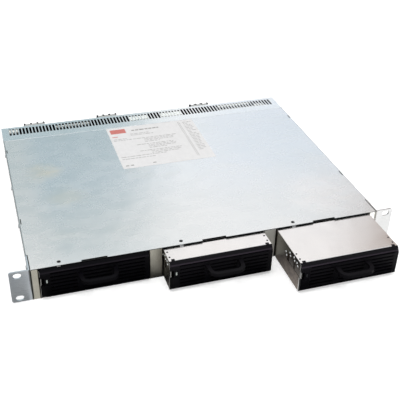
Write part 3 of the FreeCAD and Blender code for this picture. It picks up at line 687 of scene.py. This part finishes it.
pipe_on = light_pipe("status_light_on", (0.46, 0.49, 0.47), (0.36, 0.4, 0.38), 0.08)
dress(pipe_on, "left_status_light", "middle_status_light")
pipe_off = light_pipe("status_light_off", (0.02, 0.022, 0.024), (0.012, 0.013, 0.015), 0.0)
dress(pipe_off, "right_status_light")

# %% [markdown]
# ## The rating plate on the cover
# A paper plate is stuck on the cover, flush with the seam. It carries a block of colour, a heading bar, rows
# of short dashes and two rules before a narrow column. The paper is a thin pad with rounded corners. The
# dashes and the block of colour are thinner meshes on top of it.

# %% Rating plate
paper = finish("plate_paper", (0.725, 0.72, 0.72), 0.0, 0.5, IOR=1.45)
fibre = stretch(paper, clouds(paper, (6, 9, 6), 4, 0.6), 0.3, 0.7, 0, 1)
paint(paper, blend_colours(paper, fibre, (0.7, 0.695, 0.695), (0.75, 0.745, 0.745)))
emboss(paper, clouds(paper, 0.8, 3, 0.6), 0.01, 0.4)
ink_grey = finish("print_grey", (0.3, 0.29, 0.28), 0.0, 0.55)
paint(ink_grey, blend_colours(ink_grey, clouds(ink_grey, 2.5, 3), (0.22, 0.215, 0.21), (0.42, 0.41, 0.4)))
ink_red = finish("print_red", (0.55, 0.14, 0.12), 0.0, 0.5)
paint(ink_red, blend_colours(ink_red, clouds(ink_red, 4, 3), (0.5, 0.13, 0.115), (0.62, 0.2, 0.17)))

COVER_TOP = 43.7
plate_left, plate_right, plate_front, plate_rear = -69.0, 66.0, 187.0, 309.0
plate_sheet, ink_sheet = 0.12, 0.03


def add_block(bm, x, y, z):
    """A box between pairs of numbers in millimetres."""
    made = bmesh.ops.create_cube(bm, size=1)
    spans = [(high - low) * MM for low, high in (x, y, z)]
    middle = [(high + low) / 2 * MM for low, high in (x, y, z)]
    bmesh.ops.scale(bm, verts=made["verts"], vec=spans)
    bmesh.ops.translate(bm, verts=made["verts"], vec=middle)


def soften(bm, edges, offset, segments):
    """Rounds edges by an offset in millimetres."""
    bmesh.ops.bevel(bm, geom=list(edges), offset=offset * MM, segments=segments, profile=0.5,
                    affect="EDGES", material=-1)


paper_bm = bmesh.new()
add_block(paper_bm, (plate_left, plate_right), (plate_front, plate_rear),
          (COVER_TOP + 0.01, COVER_TOP + plate_sheet))
upright = [edge for edge in paper_bm.edges
           if abs(edge.verts[0].co.z - edge.verts[1].co.z) > 0.01 * MM]
soften(paper_bm, upright, 1.5, 4)
rating_plate = keep_mesh("rating_plate", paper_bm, paper)
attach(rating_plate, "shelf")

ink_low = COVER_TOP + plate_sheet
ink = ink_low + 0.004, ink_low + ink_sheet
draw = random.Random(11)
grey_bm = bmesh.new()
DASH_GAP, ROW_TALL = 1.3, 1.2
PRINT_ROWS = (  # distance from the rear edge, left and right end
    (24, 32, 60), (28, 32, 66), (36, 4, 24), (40, 4, 98), (44, 48, 94), (48, 48, 92), (52, 48, 70),
    (59, 34, 92), (63, 50, 92), (67, 50, 90), (71, 50, 76), (78, 34, 96), (82, 50, 94), (86, 50, 92),
    (90, 4, 70), (96, 4, 52))


def dashes(left, right, line, tall):
    """A row of short dashes from one side to the other, counted from the plate's rear left corner."""
    spot = left
    while spot < right - 1.5:
        run = min(draw.uniform(2.0, 7.5), right - spot)
        add_block(grey_bm, (plate_left + spot, plate_left + spot + run),
                  (plate_rear - line - tall, plate_rear - line), ink)
        spot += run + DASH_GAP


dashes(36, 78, 12, 3.2)
for line, left, right in PRINT_ROWS:
    dashes(left, right, line, ROW_TALL)
for number in range(20):
    dashes(118, draw.uniform(126, 132), 7 + number * 4.6, 1.3)
for rule in (110.5, 112.6):
    add_block(grey_bm, (plate_left + rule, plate_left + rule + 0.5), (plate_front + 10, plate_rear - 5), ink)
for spot in (plate_left + 5, plate_left + 12, plate_left + 44):
    add_block(grey_bm, (spot, spot + 4.5), (plate_front + 6, plate_front + 8.5), ink)
plate_print = keep_mesh("rating_plate_print", grey_bm, ink_grey)
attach(plate_print, "shelf")

red_bm = bmesh.new()
add_block(red_bm, (plate_left + 4, plate_left + 27), (plate_rear - 19, plate_rear - 6), ink)
add_block(red_bm, (plate_left + 4, plate_left + 12), (plate_rear - 30, plate_rear - 28), ink)
plate_field = keep_mesh("rating_plate_field", red_bm, ink_red)
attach(plate_field, "shelf")
print("dashes:", len(plate_print.data.polygons) // 6)

# %% [markdown]
# ## Screws
# The cover is held at the sides by small screws with a cross recess, and so are the ears. A head is a
# profile spun round its axis, and the recess is cut by splitting the flat top with four planes and
# pushing the cross-shaped faces down. One function makes it, so that all the screws come from one shape.

# %% Screw heads
TOUCH = 0.001  # points closer than this, in millimetres, count as one


def along(direction):
    """The turn that takes the Z axis to a direction."""
    return Vector((0, 0, 1)).rotation_difference(Vector(direction)).to_matrix().to_4x4()


def spun(bm, profile, steps=24):
    """Spins a profile of radius and height, in millimetres, right round the Z axis."""
    corners = [bm.verts.new((radius * MM, 0, height * MM)) for radius, height in profile]
    edges = [bm.edges.new(pair) for pair in zip(corners, corners[1:])]
    bmesh.ops.spin(bm, geom=corners + edges, cent=(0, 0, 0), axis=(0, 0, 1),
                   angle=math.tau, steps=steps, use_merge=True)
    bmesh.ops.remove_doubles(bm, verts=bm.verts, dist=TOUCH * MM)


def sink(bm, faces, move):
    """Pushes faces by a move in millimetres, with new walls round them."""
    pushed = bmesh.ops.extrude_face_region(bm, geom=faces)
    moved = [item for item in pushed["geom"] if isinstance(item, bmesh.types.BMVert)]
    bmesh.ops.translate(bm, verts=moved, vec=Vector(move) * MM)
    bmesh.ops.delete(bm, geom=faces, context="FACES")


def screw_head(radius, height):
    """One head with its seat on Z = 0, as a bmesh."""
    bm = bmesh.new()
    flat, arm = radius * 0.66, radius * 0.13
    spun(bm, [(radius, 0), (radius, height * 0.4), (radius * 0.9, height * 0.78), (flat, height)])
    for level in (0, height):
        rim = [edge for edge in bm.edges if edge.is_boundary
               and all(abs(vert.co.z - level * MM) < TOUCH * MM for vert in edge.verts)]
        bmesh.ops.contextual_create(bm, geom=rim)
    for axis in ((1, 0, 0), (0, 1, 0)):
        for side in (-arm, arm):
            top = [face for face in bm.faces if face.calc_center_median().z > (height - TOUCH) * MM]
            pieces = list({edge for face in top for edge in face.edges}) + top
            pieces += list({vert for face in top for vert in face.verts})
            bmesh.ops.bisect_plane(bm, geom=pieces, dist=TOUCH / 10 * MM,
                                   plane_co=Vector(axis) * side * MM, plane_no=axis)
    cross = []
    for face in bm.faces:
        spot = face.calc_center_median() / MM
        if spot.z > height - TOUCH and min(abs(spot.x), abs(spot.y)) < arm:
            cross.append(face)
    sink(bm, cross, (0, 0, -height * 0.45))
    bmesh.ops.recalc_face_normals(bm, faces=bm.faces)
    return bm


def set_out(name, pattern, places, body, material):
    """Copies one bmesh to several places, each a point in millimetres, a direction and a turn."""
    bm = bmesh.new()
    single = bpy.data.meshes.new("pattern")
    pattern.to_mesh(single)
    pattern.free()
    for point, direction, turn in places:
        before = len(bm.verts)
        bm.from_mesh(single)
        bm.verts.ensure_lookup_table()
        move = Matrix.Translation(Vector(point) * MM) @ along(direction) @ Matrix.Rotation(turn, 4, "Z")
        bmesh.ops.transform(bm, matrix=move, verts=bm.verts[before:])
    bpy.data.meshes.remove(single)
    piece = keep_mesh(name, bm, material)
    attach(piece, body)
    print(name, "places:", len(places), "faces:", len(piece.data.polygons))
    return piece


screw_zinc = brushed("screw_zinc", (0.6, 0.62, 0.62), (0.76, 0.78, 0.78), 0, 0.3)
SIDE_WALL = 220.0
SIDE_SPOTS = ((98, 37.2), (188, 37.2), (278, 37.2), (20, 11.5), (20, 32.5))
side_places = [((side * SIDE_WALL, y, z), (side, 0, 0), draw.uniform(0, 1.5))
               for side in (-1, 1) for y, z in SIDE_SPOTS]
set_out("side_screws", screw_head(2.7, 1.3), side_places, "shelf", screw_zinc)

# %% [markdown]
# At the front the cover has one tooling hole to a bay, closed by a black plastic plug. The plug is spun: a
# low domed head with a rounded lip, and a stem that fills the hole.

# %% Hole plugs


def dome(profile, steps):
    """A smooth spun shape, as a bmesh."""
    bm = bmesh.new()
    spun(bm, profile, steps)
    bmesh.ops.recalc_face_normals(bm, faces=bm.faces)
    for face in bm.faces:
        face.smooth = True
    return bm


plug_black = moulded("plug_black", (0.012, 0.012, 0.013), (0.03, 0.03, 0.031), 0.5, 1.2, 0.03, 0.08)
plug_bm = dome([(1.4, -0.7), (1.4, 0.0), (2.2, 0.02), (2.3, 0.1), (2.2, 0.18), (1.2, 0.26), (0.0, 0.28)], 20)
plug_spots = [((x, 6.5, COVER_TOP), (0, 0, 1), 0.0) for x in (-184.8, -40.0, 104.8)]
plugs = set_out("hole_plugs", plug_bm, plug_spots, "shelf", plug_black)

# %% [markdown]
# Each module lid is held along both sides by small black screws that sit almost flush. They follow the
# module when it slides, so every module gets a piece of its own.

# %% Lid screws
screw_black = brushed("screw_black_oxide", (0.02, 0.02, 0.021), (0.045, 0.045, 0.046), 0, 0.36)
LID_TOP, LID_EDGE, LID_ROWS = 41.4, 61, (9.5, 19.5, 150, 280)
for side in SIDES:
    spots = [((centre[side] + x, y - pull[side], LID_TOP), (0, 0, 1), draw.uniform(0, 1.5))
             for x in (-LID_EDGE, LID_EDGE) for y in LID_ROWS]
    set_out(f"{side}_lid_screws", screw_head(1.15, 0.35), spots, f"{side}_module", screw_black)

# %% [markdown]
# Behind the bezel each side of a case carries two arcs of riveted studs that guide the module in its bay.
# They catch the light as bright dots. A stud is a low spun dome with a soft foot, in bright nickel.

# %% Guide studs
stud_nickel = brushed("stud_nickel", (0.88, 0.87, 0.85), (0.95, 0.94, 0.93), 1, 0.2)
STUD_ARCS = ((8.2, 32.4), (17.0, 33.6), (28.7, 32.4), (39.0, 26.4),
             (10.6, 35.4), (19.3, 37.2), (31.0, 35.4), (41.5, 29.9))
boss_bm = dome([(1.35, 0.0), (1.2, 0.3), (0.95, 0.62), (0.65, 0.82), (0.3, 0.9), (0.0, 0.92)], 18)
for side in SIDES:
    spots = [((centre[side] + edge * MODULE_HALF, y - pull[side], z), (edge, 0, 0), 0.0)
             for edge in (-1, 1) for y, z in STUD_ARCS]
    piece = set_out(f"{side}_guide_studs", boss_bm.copy(), spots, f"{side}_module", stud_nickel)
boss_bm.free()

# %% [markdown]
# The front edge of each lid is folded over just behind the bezel, which gives it a bright rounded rim. A
# narrow bar with its two upper edges bevelled is enough for that.

# %% Lid rims
RIM_HALF, RIM_DEPTH, RIM_PLACE = 57.5, 0.9, 2.3
for side in SIDES:
    rim_bm = bmesh.new()
    rim_front = RIM_PLACE - pull[side]
    add_block(rim_bm, (centre[side] - RIM_HALF, centre[side] + RIM_HALF), (rim_front, rim_front + RIM_DEPTH),
              (LID_TOP - 0.1, LID_TOP + 0.32))
    upper = [edge for edge in rim_bm.edges if all(vert.co.z > LID_TOP * MM for vert in edge.verts)]
    soften(rim_bm, upper, 0.25, 3)
    rim = keep_mesh(f"{side}_lid_rim", rim_bm, stud_nickel)
    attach(rim, f"{side}_module")
print("lid rims:", len(SIDES))

# %% [markdown]
# The side sheet of each tray ends in a bright folded lip that holds the bezel's edge. It leaves a gap where
# the latch comes forward. Two narrow strips with their outer edges bevelled make it.

# %% Case lips
LIP_SPANS = ((2.0, 20.6), (31.2, 40.2))
LIP_OUT, LIP_LONG, LIP_PLACE = 0.36, 2.0, 1.7
lip_plate = brushed("case_lip_plate", (0.56, 0.55, 0.53), (0.7, 0.69, 0.67), 2, 0.32)
for side in SIDES:
    lip_bm = bmesh.new()
    flank, lip_rear = centre[side] - MODULE_HALF, LIP_PLACE - pull[side]
    for span in LIP_SPANS:
        add_block(lip_bm, (flank - LIP_OUT, flank + 0.1), (lip_rear - LIP_LONG, lip_rear), span)
    outer = [edge for edge in lip_bm.edges if all(vert.co.x < (flank - 0.3) * MM for vert in edge.verts)]
    soften(lip_bm, outer, 0.2, 3)
    lip = keep_mesh(f"{side}_case_lip", lip_bm, lip_plate)
    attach(lip, f"{side}_module")
print("case lips:", len(SIDES))

# %% [markdown]
# ## Rear hardware
# Seen from behind, each pole of a terminal block has a clamp plate under a screw, and each signal
# connector has two rows of contacts between a pair of hexagonal posts. A pale strip for marking the wires
# lies on each block, and black caps sit on its ribs. They are spun, cut or bevelled from small shapes and
# set out from the same spacings as the solids.

# %% Terminal clamps and screws
blocks, poles = (-170.0, -58.0, 94.0), (-9.6, 0.0, 9.6)
pole_face, pole_level, clamp_sheet = 360.0, 29.5, 0.9
clamp_bm = bmesh.new()
add_block(clamp_bm, (-3.3, 3.3), (-4.6, 4.6), (0.0, clamp_sheet))
soften(clamp_bm, clamp_bm.edges, 0.25, 2)
face_spots = [((block + pole, pole_face, pole_level), (0, 1, 0), 0.0) for block in blocks for pole in poles]
head_spots = [((x, y + clamp_sheet, z), way, draw.uniform(0, 3)) for (x, y, z), way, _ in face_spots]
set_out("terminal_clamps", clamp_bm, face_spots, "shelf", shell_plate)
set_out("terminal_screws", screw_head(2.9, 2.1), head_spots, "shelf", screw_zinc)

# %% Marker strips


def soft_blocks(name, boxes, offset, segments, material):
    """Boxes with all their edges rounded, as one piece."""
    bm = bmesh.new()
    for box in boxes:
        add_block(bm, *box)
    soften(bm, bm.edges, offset, segments)
    return keep_mesh(name, bm, material)


pale_card = moulded("marker_card", (0.36, 0.37, 0.36), (0.46, 0.47, 0.46), 0.5, 1.2, 0.01, 0.3)
markers = [((block - 14.2, block + 14.2), (352.2, 359.4), (42.02, 42.5)) for block in blocks]
marker_strips = soft_blocks("marker_strips", markers, 0.12, 2, pale_card)
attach(marker_strips, "shelf")
print("marker strips:", len(blocks))

# %% Rib caps
cap_black = moulded("rib_cap_black", (0.004, 0.004, 0.0045), (0.008, 0.008, 0.009), 0.5, 0.8, 0.02, 0.1)
ribs = [block + rib for block in blocks for rib in (-14.4, -4.8, 4.8, 14.4)]
caps = [((rib - 1.2, rib + 1.2), (357.4, 361.0), (41.0, 43.1)) for rib in ribs]
rib_caps = soft_blocks("rib_caps", caps, 0.3, 2, cap_black)
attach(rib_caps, "shelf")
print("rib caps:", len(ribs))

# %% Signal contacts and posts
gold = brushed("contact_gold", (0.62, 0.44, 0.14), (0.83, 0.62, 0.25), 1, 0.24)
signals, signal_level, signal_face, wall_face = (-114.5, 147.0), 28.0, 358.0, 352.0
contact_rows, contact_pitch = ((1.42, 13), (-1.42, 12)), 2.77
contact_bm = bmesh.new()
spun(contact_bm, [(0.35, 0.05), (0.35, 0.3), (0.75, 0.3), (0.85, 0.0)], 12)
bmesh.ops.recalc_face_normals(contact_bm, faces=contact_bm.faces)
contact_spots = []
for signal in signals:
    for row, count in contact_rows:
        for number in range(count):
            x = signal + (number - (count - 1) / 2) * contact_pitch
            contact_spots.append(((x, signal_face, signal_level + row), (0, 1, 0), 0.0))
set_out("signal_contacts", contact_bm, contact_spots, "shelf", gold)
post_radius, post_length, post_reach = 2.6, 4.5, 23.5
post_bm = bmesh.new()
bmesh.ops.create_cone(post_bm, cap_ends=True, segments=6, radius1=post_radius * MM, radius2=post_radius * MM,
                      depth=post_length * MM)
bmesh.ops.translate(post_bm, verts=post_bm.verts, vec=(0, 0, post_length / 2 * MM))
end_face = max(post_bm.faces, key=lambda face: face.calc_center_median().z)
bmesh.ops.inset_region(post_bm, faces=[end_face], thickness=1.1 * MM)
sink(post_bm, [end_face], (0, 0, -2.5))
post_spots = [((signal + x, wall_face, signal_level), (0, 1, 0), 0.0)
              for signal in signals for x in (-post_reach, post_reach)]
set_out("signal_posts", post_bm, post_spots, "shelf", screw_zinc)

# %% [markdown]
# ## Small sheet and plastic parts
# The rear strip has a folded hem along the seam with the cover, a bright line. Black insulating sheet lines
# the rear wall behind the vent slots, and the same sheet lines the cover over each bay: it is partly
# insulation and partly painted shade, for the dark inside of the shelf. Pale felt pads are glued under the
# strip, over the output bars and the signal connectors, so that the slots look shallow there. Black strips
# behind the ears are painted shade for the gap there, and short clips of the same black hold the cover's side
# edges. A black collar closes in each status light.

# %% Seam hem
hem_bm = bmesh.new()
hem_half, hem_y, hem_radius = 217.0, 310.2, 0.5
add_block(hem_bm, (-hem_half, hem_half), (hem_y - hem_radius, hem_y + hem_radius),
          (COVER_TOP - 0.2, COVER_TOP + 0.29))
crown = [edge for edge in hem_bm.edges if all(vert.co.z > COVER_TOP * MM for vert in edge.verts)
         and abs(edge.verts[0].co.x - edge.verts[1].co.x) > 0.1]
soften(hem_bm, crown, 0.3, 4)
hem_bright = brushed("hem_bright_zinc", (0.9, 0.93, 0.945), (0.95, 0.97, 0.98), 0, 0.6)
hem = keep_mesh("strip_hem", hem_bm, hem_bright)
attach(hem, "shelf")
print("hem length in mm:", round(hem.dimensions.x / MM))

# %% Insulating sheet
# black sheet, partly insulation and partly painted shade for the dark inside of the shelf
liner_and_shade_black = moulded("insulating_and_shade_sheet", (0.004, 0.004, 0.004), (0.007, 0.007, 0.007), 0.55, shine=0.2)
liner_bm = bmesh.new()
liner_height = 25.2, 42.5
add_block(liner_bm, (-214, 214), (349.55, 349.85), liner_height)
for x in (-215.2, 214.8):
    add_block(liner_bm, (x, x + 0.4), (313, 349.4), liner_height)
bmesh.ops.remove_doubles(liner_bm, verts=liner_bm.verts, dist=TOUCH * MM)
soften(liner_bm, [edge for edge in liner_bm.edges if edge.is_manifold], 0.08, 1)
liner = keep_mesh("rear_insulating_and_shade_sheet", liner_bm, liner_and_shade_black)
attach(liner, "shelf")
print("liner faces:", len(liner.data.polygons))

# %% Felt pads under the strip
felt = moulded("pale_felt", (0.81, 0.84, 0.8), (0.88, 0.91, 0.87), 0.85, 0.7, 0.1, 0.2)
PADS = (  # left, right, front, rear, top
    (-214, -196, 336.0, 344.7, 43.06), (-141, -88, 340.5, 344.7, 41.6), (-26, 4, 330.0, 342.0, 43.06),
    (24, 57, 330.0, 342.0, 43.06), (120, 174, 339.0, 344.7, 43.06), (118, 203, 325.6, 329.8, 43.06),
    (181, 198, 331.4, 337.0, 42.8))
pad_sheet = 2.4
pad_boxes = [((left, right), (front, rear), (top - pad_sheet, top)) for left, right, front, rear, top in PADS]
pads = soft_blocks("strip_pads", pad_boxes, 0.3, 2, felt)
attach(pads, "shelf")
print("pad faces:", len(pads.data.polygons))

# %% Gap shade behind the ears and edge clips
EDGE_CLIPS = ((92.0, 103.0), (273.5, 281.5))
# black strips in the gaps behind the ears are painted shade; the edge clips share their black
gap_shade_and_clip_boxes = []
for side in (-1, 1):
    across = sorted((side * 217.2, side * 218.3))
    gap_shade_and_clip_boxes.append((across, (0.3, 28.4), (42.9, COVER_TOP + 0.04)))
    for clip in EDGE_CLIPS:
        gap_shade_and_clip_boxes.append((across, clip, (COVER_TOP - 0.3, COVER_TOP + 0.25)))
gap_shade_and_clips = soft_blocks("ear_gap_shade_and_clips", gap_shade_and_clip_boxes, 0.1, 2, liner_and_shade_black)
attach(gap_shade_and_clips, "shelf")
print("seal faces:", len(gap_shade_and_clips.data.polygons))

# %% Cover lining
# the lining is partly insulation and partly painted shade for the gap above the modules
LINING_HALF = 63
lining_boxes = [((centre[side] - LINING_HALF, centre[side] + LINING_HALF), (0.4, 300), (42.5, 42.7))
                for side in SIDES]
lining = soft_blocks("cover_lining_and_shade", lining_boxes, 0.05, 1, liner_and_shade_black)
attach(lining, "shelf")
print("lining faces:", len(lining.data.polygons))

# %% Light collars
LIGHT_LEVEL, LIGHT_OFFSET, BEZEL_FACE = 26.2, 56.2, -3.5
for side in SIDES:
    middle = centre[side] - LIGHT_OFFSET
    face = BEZEL_FACE - pull[side]
    collar_bm = bmesh.new()
    add_block(collar_bm, (middle - 1.75, middle + 1.75), (face - 0.5, face - 0.02),
              (LIGHT_LEVEL - 2.95, LIGHT_LEVEL + 2.95))
    front_face = min(collar_bm.faces, key=lambda item: item.calc_center_median().y)
    bmesh.ops.inset_region(collar_bm, faces=[front_face], thickness=1.05 * MM)
    sink(collar_bm, [front_face], (0, 0.4, 0))
    rim = [edge for edge in collar_bm.edges if all(vert.co.y < (face - 0.45) * MM for vert in edge.verts)]
    soften(collar_bm, rim, 0.12, 2)
    collar = keep_mesh(f"{side}_light_collar", collar_bm, bezel_black)
    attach(collar, f"{side}_module")
print("collars:", len(SIDES))
